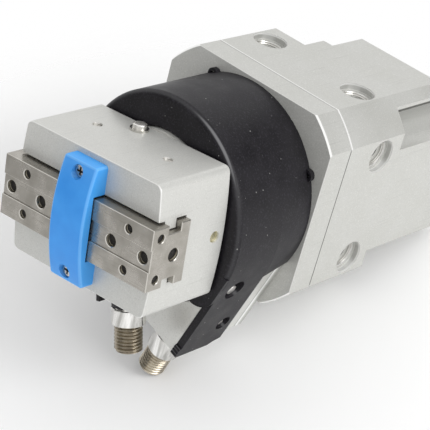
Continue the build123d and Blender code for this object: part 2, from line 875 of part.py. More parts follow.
with BuildPart() as side_plugs:
    with BuildSketch(*[seat.offset(-side_plug_depth) for seat in side_plug_seats]):
        Circle(side_plug_radius)
    extrude(amount=side_plug_depth - side_plug_inset)
save(side_plugs.part, "side_plugs")

with BuildPart() as earth_washer:
    with BuildSketch(earth_seat):
        Circle(earth_washer_radius)
        Circle(earth_screw_radius + running_gap, mode=Mode.SUBTRACT)
    extrude(amount=earth_washer_thickness)
save(earth_washer.part, "earth_washer")

with BuildPart() as earth_screw:
    with BuildSketch(earth_seat.offset(earth_washer_thickness)):
        Circle(earth_head_radius)
    extrude(amount=earth_head_height)
    top_edge = earth_screw.edges().filter_by(GeomType.CIRCLE).sort_by(Axis(earth_seat.origin, head_z))[-1]
    fillet(top_edge, head_edge_radius)
    with BuildSketch(earth_seat.offset(earth_washer_thickness)):
        Circle(earth_screw_radius)
    extrude(amount=head_room - earth_washer_thickness - earth_screw_length)
    with BuildSketch(earth_seat.offset(earth_washer_thickness + earth_head_height)):
        Rectangle(3 * earth_head_radius, earth_slot_width)
    extrude(amount=-earth_slot_depth, mode=Mode.SUBTRACT)
save(earth_screw.part, "earth_screw")

# Drive of the gripper: closed unit in the back of the head, which turns the pinion
pinion_front = slot_back + pinion_setback
pinion_back = pinion_front + pinion_width

with BuildPart() as gripper_drive:
    with BuildSketch(across(gripper_drive_front)):
        Circle(gripper_drive_radius)
    extrude(amount=-gripper_drive_depth)
    with Locations(across(gripper_drive_front)):
        Hole(pinion_shaft_radius + running_gap, pinion_shaft_grip)
save(gripper_drive.part, "gripper_drive")


def involute_half_angle(radius):
    """Half the tooth's angle at a radius, in degrees, on an involute flank."""
    base_radius = pitch_radius * math.cos(math.radians(gear_pressure_angle))
    pressure_angle = math.acos(min(1.0, base_radius / radius))
    pitch_angle = math.radians(gear_pressure_angle)
    pitch_half_angle = (tooth_pitch - gear_backlash) / 4 / pitch_radius
    roll = math.tan(pitch_angle) - pitch_angle - math.tan(pressure_angle) + pressure_angle
    return math.degrees(pitch_half_angle + roll)


pinion_root = pitch_radius - pinion_dedendum
pinion_tip = pitch_radius + pinion_addendum
pinion_base = pitch_radius * math.cos(math.radians(gear_pressure_angle))
flank_radii = [pinion_base + (pinion_tip - pinion_base) * step / 3 for step in range(4)]
upper_flank = [polar_point(radius, involute_half_angle(radius)) for radius in flank_radii]
lower_flank = [(x, -z) for x, z in reversed(upper_flank)]
tooth_foot = polar_point(pinion_root - gear_backlash, involute_half_angle(pinion_base))
tooth = [tooth_foot, *upper_flank, *lower_flank, (tooth_foot[0], -tooth_foot[1])]

with BuildPart() as pinion:
    with BuildSketch(head_across(pinion_front)):
        Circle(pinion_root)
        with PolarLocations(0, pinion_teeth):
            Polygon(*tooth, align=None)
    extrude(amount=-pinion_width)
    with BuildSketch(head_across(pinion_back)):
        Circle(pinion_shaft_radius)
    extrude(amount=pinion_back - gripper_drive_front - pinion_shaft_grip + running_gap)
save(pinion.part, "pinion")

# Jaws: each slides in the T slot and carries a rack that meets the pinion from its own side
jaw_front = head_front - jaw_stand_out
jaw_neck_front = jaw_front + jaw_block_depth
jaw_flange_front = jaw_neck_front + jaw_neck_depth
jaw_back = jaw_flange_front + jaw_flange_depth
rack_front = jaw_back + rack_slide_gap
rack_back = rack_room_back - rack_room_gap
rack_root = pitch_radius + rack_dedendum
rack_tip = pitch_radius - rack_addendum
pressure_slope = math.tan(math.radians(gear_pressure_angle))
rack_tooth_half = (tooth_pitch - gear_backlash) / 4
rack_tooth_root_half = rack_tooth_half + rack_dedendum * pressure_slope
rack_tooth_tip_half = rack_tooth_half - rack_addendum * pressure_slope
teeth_past_middle = math.floor(rack_reach / tooth_pitch)
rack_tooth_count = teeth_past_middle + math.floor((rack_end - rack_tooth_root_half) / tooth_pitch + 0.5)


def jaw(name, side):
    """One jaw on the right (side 1) or left (side -1), with its rack above or below the pinion."""
    with BuildPart() as jaw_part:
        with BuildSketch(head_side(side * jaw_inner)):
            with BuildLine():
                half_outline = Polyline(
                    (jaw_front + jaw_band_depth, 0),
                    (jaw_front + jaw_band_depth, jaw_band_half),
                    (jaw_front + jaw_line_chamfer, jaw_band_half),
                    (jaw_front, jaw_band_half + jaw_line_chamfer),
                    (jaw_front, jaw_half - jaw_line_chamfer),
                    (jaw_front + jaw_line_chamfer, jaw_half),
                    (jaw_neck_front, jaw_half),
                    (jaw_neck_front, jaw_neck_half),
                    (jaw_flange_front, jaw_neck_half),
                    (jaw_flange_front, jaw_half),
                    (jaw_back, jaw_half),
                    (jaw_back, 0),
                )
                mirror(half_outline, about=Plane.XZ)
            make_face()
        extrude(amount=side * (jaw_outer - jaw_inner))
        outer_end = jaw_part.faces().sort_by(Axis((0, 0, 0), head_x * side))[-1]
        chamfer(outer_end.edges(), jaw_edge_chamfer)
        with Locations(*[head_across(jaw_front, side * jaw_pair_x, z) for z in (-jaw_pair_z, jaw_pair_z)]):
            Hole(jaw_pair_radius, jaw_pair_depth)
        with Locations(*[head_across(jaw_front + jaw_band_depth, side * x) for x in jaw_row_x]):
            Hole(jaw_row_radius, jaw_row_depth)
        end_face = Plane(head_x * side * jaw_outer, x_dir=(0, 1, 0), z_dir=head_x * side)
        with Locations(end_face):
            with Locations(*[(jaw_front + jaw_end_pair_setback, z) for z in (-jaw_pair_z, jaw_pair_z)]):
                Hole(jaw_pair_radius, jaw_end_pair_depth)
            with Locations((jaw_front + jaw_end_hole_setback, 0)):
                Hole(jaw_end_hole_radius, jaw_end_hole_depth)
        rims = [
            edge
            for edge in jaw_part.edges().filter_by(GeomType.CIRCLE)
            if edge.center().Y < jaw_front + jaw_band_depth + jaw_hole_chamfer
            or edge.center().dot(head_x) * side > jaw_outer - jaw_hole_chamfer
        ]
        chamfer(rims, jaw_hole_chamfer)
        with BuildSketch(head_across(rack_front)):
            with Locations((side * (rack_end - rack_reach) / 2, side * (rack_root + jaw_half) / 2)):
                Rectangle(rack_end + rack_reach, jaw_half - rack_root)
            for index in range(rack_tooth_count):
                centre = side * (index + 0.5 - teeth_past_middle) * tooth_pitch
                Polygon(
                    (centre - rack_tooth_root_half, side * rack_root),
                    (centre - rack_tooth_tip_half, side * rack_tip),
                    (centre + rack_tooth_tip_half, side * rack_tip),
                    (centre + rack_tooth_root_half, side * rack_root),
                    align=None,
                )
        extrude(amount=rack_front - rack_back)
        with BuildSketch(head_across(jaw_back)):
            with Locations((side * (rack_end + jaw_inner) / 2, side * (rack_root + jaw_half) / 2)):
                Rectangle(rack_end - jaw_inner, jaw_half - rack_root)
        extrude(amount=-rack_slide_gap)
    save(jaw_part.part, name)


jaw("right_jaw", 1)
jaw("left_jaw", -1)

# Bridge: moulded strap over the jaws, arched on its outside, held by two cross recess screws
bridge_screw_rise = bridge_end_rise - bridge_screw_recess_depth
bridge_screw_planes = [seat.offset(bridge_screw_rise) for seat in bridge_screw_seats]

with BuildPart() as bridge_cover:
    with BuildSketch(head_side(-bridge_half_width)):
        with BuildLine():
            Line((head_front, bridge_half_length), (head_front - bridge_end_rise, bridge_half_length))
            ThreePointArc(
                (head_front - bridge_end_rise, bridge_half_length),
                (head_front - bridge_rise, 0),
                (head_front - bridge_end_rise, -bridge_half_length),
            )
            Line((head_front - bridge_end_rise, -bridge_half_length), (head_front, -bridge_half_length))
            Line((head_front, -bridge_half_length), (head_front, bridge_half_length))
        make_face()
    extrude(amount=2 * bridge_half_width)
    outer_edges = [edge for edge in bridge_cover.edges() if edge.center().Y < head_front - bridge_jaw_gap]
    fillet(outer_edges, bridge_edge_radius)
    with BuildSketch(head_across(head_front)):
        Rectangle(2 * bridge_half_width, 2 * bridge_foot_start)
    extrude(amount=jaw_stand_out + bridge_jaw_gap, mode=Mode.SUBTRACT)
    with BuildSketch(*bridge_screw_planes):
        Circle(bridge_screw_recess_radius)
    extrude(amount=bridge_rise, mode=Mode.SUBTRACT)
    with Locations(*bridge_screw_seats):
        Hole(bridge_screw_radius + seat_gap, bridge_rise)
save(bridge_cover.part, "bridge_cover")

with BuildPart() as bridge_screws:
    with BuildSketch(*bridge_screw_planes):
        Circle(bridge_screw_head_radius)
    extrude(amount=bridge_screw_head_height)
    fillet(bridge_screws.edges().group_by(Axis.Y)[0], bridge_screw_edge_radius)
    with BuildSketch(*bridge_screw_planes):
        Circle(bridge_screw_radius)
    extrude(amount=head_room - bridge_screw_length - bridge_end_rise + bridge_screw_recess_depth)
    with BuildSketch(*[plane.offset(bridge_screw_head_height) for plane in bridge_screw_planes]):
        Rectangle(cross_recess_length, cross_recess_width)
        Rectangle(cross_recess_width, cross_recess_length)
    extrude(amount=-cross_recess_depth, mode=Mode.SUBTRACT)
save(bridge_screws.part, "bridge_screws")

# Holder of the connector under the head: pad on the head, neck round the connector and a guard web
head_connector_seat = Plane(
    head_connector_down * head_neck_end + Vector(0, head_connector_y, 0),
    x_dir=(0, 1, 0),
    z_dir=head_connector_down,
)
holder_root = head_connector_seat.offset(-head_neck_end)

with BuildPart() as head_connector_holder:
    with BuildSketch(holder_root):
        Circle(head_neck_radius)
    extrude(amount=head_neck_end)
    with BuildSketch(holder_root):
        Rectangle(2 * (holder_web_back + head_front - head_connector_y), 2 * holder_web_offset)
    extrude(amount=head_top + holder_pad_depth)
    with BuildSketch(across(head_connector_y)):
        with BuildLine():
            web_root = head_connector_across * -holder_web_offset
            web_end = web_root + head_connector_down * holder_web_end
            web_step = head_connector_across * holder_web_thickness
            corners = (web_root, web_end, web_end + web_step, web_root + web_step)
            Polyline(*[(corner.X, corner.Z) for corner in corners], close=True)
        make_face()
    extrude(amount=head_connector_y - head_front - holder_web_back)
    with BuildSketch(head_across(head_front)):
        Rectangle(2 * head_width, head_height)
    extrude(amount=-head_depth, mode=Mode.SUBTRACT)
    with Locations(head_connector_seat):
        Hole(connector_spigot_radius, connector_spigot_length)
save(head_connector_holder.part, "head_connector_holder")

connector("head_connector", head_connector_seat, head_collar_length, connector_thread_length)
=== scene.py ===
import json
import math

import bmesh
import bpy
from mathutils import Matrix, Quaternion, Vector


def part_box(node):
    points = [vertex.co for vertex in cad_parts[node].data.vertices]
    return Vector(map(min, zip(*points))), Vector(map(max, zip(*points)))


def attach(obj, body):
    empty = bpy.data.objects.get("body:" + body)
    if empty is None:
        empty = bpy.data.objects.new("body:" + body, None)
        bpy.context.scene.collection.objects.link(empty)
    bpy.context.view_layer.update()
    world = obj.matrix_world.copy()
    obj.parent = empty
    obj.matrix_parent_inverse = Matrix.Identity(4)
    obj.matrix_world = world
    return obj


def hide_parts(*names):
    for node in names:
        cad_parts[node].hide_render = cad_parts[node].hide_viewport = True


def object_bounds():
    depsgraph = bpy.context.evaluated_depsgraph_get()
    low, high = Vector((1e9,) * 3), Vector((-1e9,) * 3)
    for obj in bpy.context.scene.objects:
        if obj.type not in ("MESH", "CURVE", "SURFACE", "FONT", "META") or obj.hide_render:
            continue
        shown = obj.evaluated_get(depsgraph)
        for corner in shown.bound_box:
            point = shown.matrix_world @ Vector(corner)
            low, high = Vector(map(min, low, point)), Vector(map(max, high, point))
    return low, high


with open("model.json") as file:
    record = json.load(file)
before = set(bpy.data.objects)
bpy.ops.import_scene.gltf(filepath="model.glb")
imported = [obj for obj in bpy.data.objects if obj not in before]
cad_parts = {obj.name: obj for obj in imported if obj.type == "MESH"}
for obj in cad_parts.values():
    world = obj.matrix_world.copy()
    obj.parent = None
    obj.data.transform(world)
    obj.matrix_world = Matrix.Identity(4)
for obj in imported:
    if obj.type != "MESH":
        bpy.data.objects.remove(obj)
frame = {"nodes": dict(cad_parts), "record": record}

cad_low, cad_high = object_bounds()
nodes = frame["nodes"]
MM = 0.001

# Directions of the unit: the head and the tail are both turned about the unit's axis, which is Y
HEAD_ANGLE = math.radians(6.73)
TAIL_ANGLE = math.radians(-17.63)
HEAD_CONNECTOR_TILT = math.radians(10.2)
FORWARD = Vector((0, -1, 0))


def turned(angle):
    """Direction across the unit's axis, turned from +X towards +Z."""
    return Vector((math.cos(angle), 0, math.sin(angle)))


head_x = turned(HEAD_ANGLE)
head_z = turned(HEAD_ANGLE + math.pi / 2)
tail_out = turned(TAIL_ANGLE)
tail_down = turned(TAIL_ANGLE - math.pi / 2)
head_connector_down = turned(HEAD_ANGLE + HEAD_CONNECTOR_TILT - math.pi / 2)


def head_point(x, y, z):
    """Point of the head, in millimetres across it, along the unit's axis and up."""
    return head_x * x + head_z * z + Vector((0, y, 0))


def front_of(node):
    """Foremost place of a node along the unit's axis, in millimetres."""
    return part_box(node)[0].y / MM


# Places along the unit, in millimetres
HEAD_FRONT = front_of("head_body")
JAW_FRONT = front_of("right_jaw")
SEAM_Y = front_of("rear_housing")
BLOCK_BACK_Y = -37.6
TAIL_FRONT = front_of("cable_drum") + 1.0

# Housing, in millimetres: half the block's width, the underside of the deck, the painted shade in the groove
# below it, which is full from GROOVE_X outwards, and how far the painted shade reaches down the side
HALF_BLOCK = cad_high.x / MM
UNDER_DECK_Z = 27.3
GROOVE_HEIGHT = 1.0
GROOVE_X = 22.0
UNDER_DECK_SHADE_HEIGHT = 12.0

# Mounting holes, in millimetres: two in the block's top and two in its right side, each with a wider mouth,
# a step and a core
MOUNT_Y = -46.7
MOUNT_HALF_SPACING = 17.0
MOUNT_MOUTH_RADIUS = 5.2
MOUNT_STEP_RADIUS = 4.25
MOUNT_CORE_RADIUS = 2.5

# Depths in the mounting holes, in millimetres, between which their walls carry painted highlights, a painted
# shade and a dark painted shade
PAINTED_HIGHLIGHT_RINGS = ((0.1, 0.5), (2.1, 2.5))
SHADED_RING = (0.7, 1.9)
PAINTED_SHADE_DEPTH = (5.0, 16.0)


# Colours and shader nodes

def colour(code):
    """Linear colour of an sRGB hex code."""
    channels = [int(code[place:place + 2], 16) / 255 for place in (1, 3, 5)]
    linear = [value / 12.92 if value <= 0.04045 else ((value + 0.055) / 1.055) ** 2.4 for value in channels]
    return (*linear, 1.0)


def per_mm(size):
    """Texture scale, in object metres, whose pattern repeats about every size millimetres."""
    return 1 / (size * MM)


def output(source):
    """Socket that a link starts from: the one that is given, or a node's own."""
    if isinstance(source, bpy.types.NodeSocket):
        return source
    return next(socket for socket in source.outputs if socket.enabled)


def add(tree, kind, settings, links=()):
    """One shader node, with its settings and with links from other nodes.

    An input goes by its name or its number.
    """
    node = tree.nodes.new(kind)
    for name, value in settings.items():
        if isinstance(name, int) or name in node.inputs:
            node.inputs[name].default_value = value
        else:
            setattr(node, name, value)
    for name, source in dict(links).items():
        tree.links.new(output(source), node.inputs[name])
    return node


def region(tree, *ranges):
    """Share of a surface, from 0 to 1, that lies in every one of the ranges.

    A range is a value on the surface, where the region starts and where it is full.
    """
    share = None
    for value, start, full in ranges:
        limits = {"From Min": start, "From Max": full, "interpolation_type": "SMOOTHSTEP"}
        inside = add(tree, "ShaderNodeMapRange", limits, {"Value": value})
        if share is not None:
            inside = add(tree, "ShaderNodeMath", {"operation": "MULTIPLY"}, {0: share, 1: inside})
        share = inside
    return share


SOFT_EDGE = 0.05


def band(value, low, high):
    """Both ranges of a band between two places, in millimetres, with soft edges."""
    rise = (value, (low - SOFT_EDGE) * MM, (low + SOFT_EDGE) * MM)
    fall = (value, (high + SOFT_EDGE) * MM, (high - SOFT_EDGE) * MM)
    return rise, fall


def mottled(tree, pattern, dark, light, start=0.35, full=0.65):
    """Colour that goes from dark to light with a pattern."""
    share = add(tree, "ShaderNodeMapRange", {"From Min": start, "From Max": full}, {"Value": pattern})
    return add(tree, "ShaderNodeMix", {"data_type": "RGBA", 6: colour(dark), 7: colour(light)}, {0: share})


def layered(tree, base, layers):
    """Colour with layers over it. A layer is its share of the surface, its strength and its colour."""
    for share, strength, code in layers:
        cover = add(tree, "ShaderNodeMath", {"operation": "MULTIPLY", 1: strength}, {0: share})
        base = add(tree, "ShaderNodeMix", {"data_type": "RGBA", 7: colour(code)}, {0: cover, 6: base})
    return base


def part_along(tree, direction, axis):
    """Size of the part of a direction, or of a place, that lies along an axis, whichever way it points."""
    part = add(tree, "ShaderNodeSeparateXYZ", {}, {"Vector": direction}).outputs[axis]
    return add(tree, "ShaderNodeMath", {"operation": "ABSOLUTE"}, {0: part})


def turned_place(tree, kind, angle):
    """Object coordinates or normals in axes that are turned about the unit's axis."""
    source = add(tree, "ShaderNodeTexCoord", {}).outputs[kind]
    turn = {"rotation_type": "Y_AXIS", "Angle": angle}
    return add(tree, "ShaderNodeVectorRotate", turn, {"Vector": source})


def new_material(name, **settings):
    """Material, its node tree, its shader with the settings on its own sockets, and object coordinates."""
    material = bpy.data.materials.new(name)
    material.use_nodes = True
    shader = material.node_tree.nodes["Principled BSDF"]
    for key, value in settings.items():
        shader.inputs[key.replace("_", " ")].default_value = value
    place = add(material.node_tree, "ShaderNodeTexCoord", {}).outputs["Object"]
    return material, material.node_tree, shader, place


POLISHED_ROUGHNESS = 0.2


def end_finish(tree, shader, base, uneven, rough, relief, depth_mm, polished_highlights=()):
    """Last nodes of a finish: its colour, its roughness between two values, and its relief of depth_mm.

    Each of the polished highlights is its share of the surface and its strength.
    """
    limits = {"From Min": 0.3, "From Max": 0.7, "To Min": rough[0], "To Max": rough[1]}
    limits["interpolation_type"] = "SMOOTHSTEP"
    roughness = add(tree, "ShaderNodeMapRange", limits, {"Value": uneven})
    for share, strength in polished_highlights:
        cover = add(tree, "ShaderNodeMath", {"operation": "MULTIPLY", 1: strength}, {0: share})
        roughness = add(tree, "ShaderNodeMix", {"B": POLISHED_ROUGHNESS}, {"Factor": cover, "A": roughness})
    bump = add(tree, "ShaderNodeBump", {"Distance": depth_mm * MM, "Strength": 1.0}, {"Height": relief})
    for source, socket in ((base, "Base Color"), (roughness, "Roughness"), (bump, "Normal")):
        tree.links.new(output(source), shader.inputs[socket])


# Finishes

def seam_layers(tree, station, level, upright, flat):
    """Dirt in the seam between the front plate and the block, wider on the top than on the side."""
    top = region(tree, *band(station, SEAM_Y - 0.42, SEAM_Y - 0.05), level, flat)
    side = region(tree, *band(station, SEAM_Y - 0.20, SEAM_Y + 0.20), upright, flat)
    return [(top, 0.36, "#2b2a27"), (side, 0.75, "#2b2a27")]


def under_deck_painted_shade(tree, spot, upright):
    """Painted shade on the side under the deck, darkest just below it, and painted shade in the groove under
    its edge.
    """
    behind_block = band(spot["Y"], BLOCK_BACK_Y, 0)
    deck_edge = UNDER_DECK_Z * MM
    darkest_near_deck = (spot["Z"], deck_edge - UNDER_DECK_SHADE_HEIGHT * MM, deck_edge)
    below = (spot["Z"], deck_edge + 0.2 * MM, deck_edge)
    dust_and_painted_shade = region(tree, *behind_block, upright, darkest_near_deck, below)
    groove_height = band(spot["Z"], UNDER_DECK_Z - GROOVE_HEIGHT, UNDER_DECK_Z)
    outer = (spot["X"], (GROOVE_X - 2.0) * MM, GROOVE_X * MM)
    groove_painted_shade = region(tree, *groove_height, outer, *behind_block)
    return [(dust_and_painted_shade, 0.8, "#83837e"), (groove_painted_shade, 0.8, "#5a5a56")]


def below_mouth(height, start, full):
    """Range of depths in a mounting hole, in millimetres below its mouth."""
    return height, (HALF_BLOCK - start) * MM, (HALF_BLOCK - full) * MM


def mounting_hole_painted_light(tree, place, spot, lean):
    """Painted light inside the mounting holes: painted highlights on the wall and rings, a painted shade ring
    between them and painted shade in the dark depth.
    """
    reach = MOUNT_MOUTH_RADIUS + 0.3
    layers = []
    for deep, wide in (("X", "Z"), ("Z", "X")):
        height = spot[deep]
        outermost = MOUNT_HALF_SPACING + reach
        from_middle = (part_along(tree, place, wide), (outermost + 0.3) * MM, outermost * MM)
        row = (*band(spot["Y"], MOUNT_Y - reach, MOUNT_Y + reach), from_middle)
        wall = (*row, (lean[deep], 0.4, 0.2), below_mouth(height, 7.0, 6.0))
        lit_wall = (*wall, (lean["Z"], 0.5, 0.7), below_mouth(height, 2.6, 2.4))
        layers += [(region(tree, *wall), 0.225, "#fbfbfa"), (region(tree, *lit_wall), 0.87, "#fbfbfa")]
        rings = [(*ends, 0.87, "#fbfbfa") for ends in PAINTED_HIGHLIGHT_RINGS] + [(*SHADED_RING, 0.28, "#6a6a66")]
        for top, bottom, strength, code in rings:
            ring_band = band(height, HALF_BLOCK - bottom, HALF_BLOCK - top)
            layers.append((region(tree, *wall, *ring_band), strength, code))
        start, end = PAINTED_SHADE_DEPTH
        depth = (*row, below_mouth(height, start - 0.3, start + 0.1), below_mouth(height, end + 1.0, end))
        layers.append((region(tree, *depth), 0.95, "#1b1b1a"))
    return layers


def aluminium(name, dark, light, rough, metallic, painted_lines=()):
    """Aluminium with a fine sparkle and faint lines along the unit, and smooth cut edges with painted
    highlights.

    Painted lines are bands of painted highlight and painted shade across the unit; each gives where it starts
    and ends along the unit, in millimetres, its strength and its colour.
    """
    material, tree, shader, place = new_material(name, Metallic=metallic)
    spot = add(tree, "ShaderNodeSeparateXYZ", {}, {"Vector": place}).outputs
    station = spot["Y"]
    normal = add(tree, "ShaderNodeTexCoord", {}).outputs["Normal"]
    lean = {axis: part_along(tree, normal, axis) for axis in "XYZ"}
    corner = add(tree, "ShaderNodeMath", {"operation": "MULTIPLY"}, {0: lean["X"], 1: lean["Z"]})
    level = (lean["Z"], 0.5, 0.7)
    upright = (lean["X"], 0.5, 0.7)
    flat = (corner, 0.16, 0.06)

    # The edges are cut after blasting, and the seam's edge is burnished: both are smoother, and are painted
    # near white as painted highlights
    cut_edge_highlight = (lean["Y"], 0.30, 0.48), (lean["Y"], 0.96, 0.84)
    polished_highlights = (
        (region(tree, *cut_edge_highlight), 0.3),
        (region(tree, *cut_edge_highlight, (corner, 0.02, 0.16)), 1.0),
        (region(tree, *band(station, SEAM_Y - 0.02, SEAM_Y + 0.50), level, flat), 0.6),
        (region(tree, *band(station, SEAM_Y + 0.05, SEAM_Y + 0.70), (corner, 0.10, 0.20)), 0.9),
    )

    # A bead's mark is about 0.1 mm wide, and too fine to show: the grain is drawn 0.35 mm wide
    clouds = add(tree, "ShaderNodeTexNoise", {"Scale": per_mm(16.0), "Detail": 3.0}, {"Vector": place})
    grain = add(tree, "ShaderNodeTexNoise", {"Scale": per_mm(0.35), "Detail": 1.0}, {"Vector": place})
    drawn_out = add(tree, "ShaderNodeVectorMath", {"operation": "DIVIDE", 1: (1, 40, 1)}, {0: place})
    lines = add(tree, "ShaderNodeTexNoise", {"Scale": per_mm(0.5), "Detail": 2.0}, {"Vector": drawn_out})
    layers = [
        (region(tree, (lines, 0.60, 0.75)), 0.40, "#aeaea9"),
        (region(tree, (grain, 0.55, 0.75)), 0.35, "#b2b2ad"),
        (region(tree, (grain, 0.42, 0.28)), 0.40, "#e2e2df"),
    ]
    # Painted highlights and painted shade inside the mounting holes
    layers += mounting_hole_painted_light(tree, place, spot, lean)
    # Painted shade under the deck and in the groove below its edge
    layers += under_deck_painted_shade(tree, spot, upright)
    # Painted highlight and painted shade lines across the unit
    for start, end, strength, code in painted_lines:
        layers.append((region(tree, *band(station, start, end)), strength, code))
    # Painted highlights: the cut edges and the seam's edge are painted near white
    layers += [(share, strength, "#f6f6f4") for share, strength in polished_highlights]
    layers += seam_layers(tree, station, level, upright, flat)
    base = layered(tree, mottled(tree, clouds, dark, light), layers)
    end_finish(tree, shader, base, clouds, rough, grain, 0.010, polished_highlights)
    return material


# Aluminium, bead blasted and clear anodised: dull pale grey. The head's copy is painted a little paler than
# the housing's, as painted light
housing_aluminium = aluminium("blasted_anodised_housing", "#c3c3be", "#c8c8c4", (0.42, 0.48), 0.35)
head_aluminium_painted_paler = aluminium("blasted_anodised_head_painted_paler", "#cacac6", "#cfcfcb", (0.42, 0.48), 0.30)

# Aluminium, milled and left bare: brighter and smoother, with painted highlight lines and painted shade lines
# across the bracket at its edges
bracket_painted_lines = (
    (-80.2, -79.2, 0.9, "#ffffff"),
    (-79.1, -78.8, 0.5, "#8f8f8b"),
    (-75.7, -75.3, 0.6, "#8f8f8b"),
    (-75.2, -74.2, 0.9, "#ffffff"),
    (-73.5, -72.3, 0.5, "#9a9a96"),
)
milled_aluminium = aluminium("milled_aluminium", "#d6d6d2", "#dededa", (0.30, 0.36), 0.45, bracket_painted_lines)

# Tool steel, surface ground: warmer and darker than the aluminium, with fine lines along the jaws, faint
# stains, broken edges painted bright as wear and as painted highlight, and a painted highlight along the
# band's step. The wheel's lines are drawn 0.32 mm apart, coarser than they are, so that they show
JAW_STEP_Z = 3.0
ground_steel, tree, shader, _ = new_material("ground_tool_steel", Metallic=0.9)
place = turned_place(tree, "Object", HEAD_ANGLE)
facing = turned_place(tree, "Normal", HEAD_ANGLE)
height = add(tree, "ShaderNodeSeparateXYZ", {}, {"Vector": place}).outputs["Z"]
stains = add(tree, "ShaderNodeTexNoise", {"Scale": per_mm(5.0), "Detail": 5.0}, {"Vector": place})
drawn_out = add(tree, "ShaderNodeVectorMath", {"operation": "DIVIDE", 1: (30, 1, 1)}, {0: place})
lines = add(tree, "ShaderNodeTexNoise", {"Scale": per_mm(0.32), "Detail": 2.0}, {"Vector": drawn_out})
step_height = band(height, JAW_STEP_Z - 0.25, JAW_STEP_Z + 0.05)
step_highlight = region(tree, *step_height, (part_along(tree, facing, "Y"), 0.9, 0.97))
broken_edge_wear_and_highlight = region(tree, *[(part_along(tree, facing, axis), 0.96, 0.86) for axis in "XYZ"])
base = layered(tree, mottled(tree, stains, "#a09c94", "#b3afa8", 0.34, 0.66), [
    (region(tree, (lines, 0.55, 0.75)), 0.35, "#837d72"),
    (step_highlight, 0.5, "#d9d6cf"),
    (broken_edge_wear_and_highlight, 0.7, "#d9d6cf"),
])
end_finish(tree, shader, base, stains, (0.34, 0.24), lines, 0.006)

# Polyamide, moulded black: dull, with the mould's spark eroded grain and specks of dust. The grain is about
# 0.1 mm wide, and is drawn 0.5 mm wide so that it shows. The fillet carries a soft painted highlight, and a
# stronger painted highlight where it faces one direction
HIGHLIGHT_SPOT_DIRECTION = (0.42, -0.64, 0.64)
black_polyamide, tree, shader, place = new_material("moulded_black_polyamide", Specular_IOR_Level=0.30)
normal = add(tree, "ShaderNodeTexCoord", {}).outputs["Normal"]
clouds = add(tree, "ShaderNodeTexNoise", {"Scale": per_mm(7.0), "Detail": 4.0}, {"Vector": place})
grain = add(tree, "ShaderNodeTexNoise", {"Scale": per_mm(0.5), "Detail": 2.0}, {"Vector": place})
specks = add(tree, "ShaderNodeTexVoronoi", {"Scale": per_mm(1.9)}, {"Vector": place})
chance = add(tree, "ShaderNodeSeparateXYZ", {}, {"Vector": specks.outputs["Color"]}).outputs["X"]
chance = region(tree, (chance, 0.55, 1.0))
speck_size = add(tree, "ShaderNodeMapRange", {"To Min": 0.03, "To Max": 0.11}, {"Value": chance})
from_middle = specks.outputs["Distance"]
speck = add(tree, "ShaderNodeMath", {"operation": "LESS_THAN"}, {0: from_middle, 1: speck_size})
speck_strength = add(tree, "ShaderNodeMapRange", {"To Min": 0.20, "To Max": 0.60}, {"Value": chance})
dust_and_painted_shade = add(tree, "ShaderNodeMath", {"operation": "MULTIPLY"}, {0: speck, 1: speck_strength})
above_tail = turned_place(tree, "Object", TAIL_ANGLE)
above_tail = add(tree, "ShaderNodeSeparateXYZ", {}, {"Vector": above_tail}).outputs["Z"]
slant = part_along(tree, normal, "Y")
fillet_highlight_band = region(tree, (slant, 0.20, 0.70), (slant, 0.98, 0.75), (above_tail, -16 * MM, 4 * MM))
fillet_highlight_spot = add(tree, "ShaderNodeVectorMath", {"operation": "DOT_PRODUCT", 1: HIGHLIGHT_SPOT_DIRECTION}, {0: normal})
base = layered(tree, mottled(tree, clouds, "#0f0d12", "#1a181d"), [
    (region(tree, (grain, 0.52, 0.70)), 0.8, "#2c2930"),
    (fillet_highlight_band, 0.35, "#4c4c4e"),
    (region(tree, (fillet_highlight_spot, 0.94, 0.998)), 0.6, "#8e8e90"),
    (dust_and_painted_shade, 1.0, "#a5a5a2"),
])
end_finish(tree, shader, base, clouds, (0.42, 0.52), grain, 0.02)

# Polyamide, moulded blue: satin and even, with painted light on its sides, top and bottom, and a painted
# highlight along its rounded edges. Its grain is drawn 0.45 mm wide, coarser than it is, so that it shows
blue_polyamide, tree, shader, place = new_material("moulded_blue_polyamide")
facing = turned_place(tree, "Normal", HEAD_ANGLE)
clouds = add(tree, "ShaderNodeTexNoise", {"Scale": per_mm(8.0), "Detail": 3.0}, {"Vector": place})
grain = add(tree, "ShaderNodeTexNoise", {"Scale": per_mm(0.45), "Detail": 2.0}, {"Vector": place})
layers = [(region(tree, (part_along(tree, facing, axis), 0.6, 0.8)), 0.45, "#55b6ff") for axis in "XZ"]
rounded_edge_highlight = region(tree, *[(part_along(tree, facing, axis), 0.99, 0.9) for axis in "XYZ"])
layers.append((rounded_edge_highlight, 0.34, "#8ccafd"))
base = layered(tree, mottled(tree, clouds, "#2c91ea", "#379cf2"), layers)
end_finish(tree, shader, base, clouds, (0.36, 0.44), grain, 0.010)


def bright_metal(name, dark, light, cloud_mm, rough, stretch=(1, 1, 1)):
    """Small metal part: slightly uneven colour, and a fine grain too shallow to blur its reflections."""
    material, tree, shader, place = new_material(name, Metallic=1.0)
    drawn_out = add(tree, "ShaderNodeVectorMath", {"operation": "DIVIDE", 1: stretch}, {0: place})
    cloud_size = {"Scale": per_mm(cloud_mm), "Detail": 3.0}
    clouds = add(tree, "ShaderNodeTexNoise", cloud_size, {"Vector": drawn_out})
    grain = add(tree, "ShaderNodeTexNoise", {"Scale": per_mm(0.25), "Detail": 2.0}, {"Vector": place})
    end_finish(tree, shader, mottled(tree, clouds, dark, light), grain, rough, grain, 0.002)
    return material


